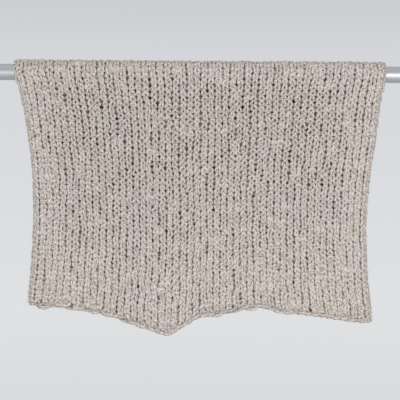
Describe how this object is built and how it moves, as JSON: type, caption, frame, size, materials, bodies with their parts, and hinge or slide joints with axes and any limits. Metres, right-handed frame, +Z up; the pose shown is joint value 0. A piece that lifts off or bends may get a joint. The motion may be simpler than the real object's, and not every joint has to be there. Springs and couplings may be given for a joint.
{
  "type": "knitted blanket on a rod",
  "caption": "Chunky knitted throw in plain stocking stitch, draped over a round metal rod that is held at both ends.",
  "frame": {"origin": "on the rod's axis, at the middle of its length", "axes": "+X along the rod to the right as seen from the front, +Z up, and the front fall of the blanket on the -Y side"},
  "size_m": [0.9, 0.0889, 0.5375],
  "materials": {
    "yarn": "soft, slightly fuzzy thick-and-thin wool-blend yarn in undyed oatmeal with small dark flecks",
    "rod": "satin drawn aluminium, clear anodised"
  },
  "bodies": {
    "root": {"blanket": "yarn", "rod": "rod"}
  },
  "joints": []
}
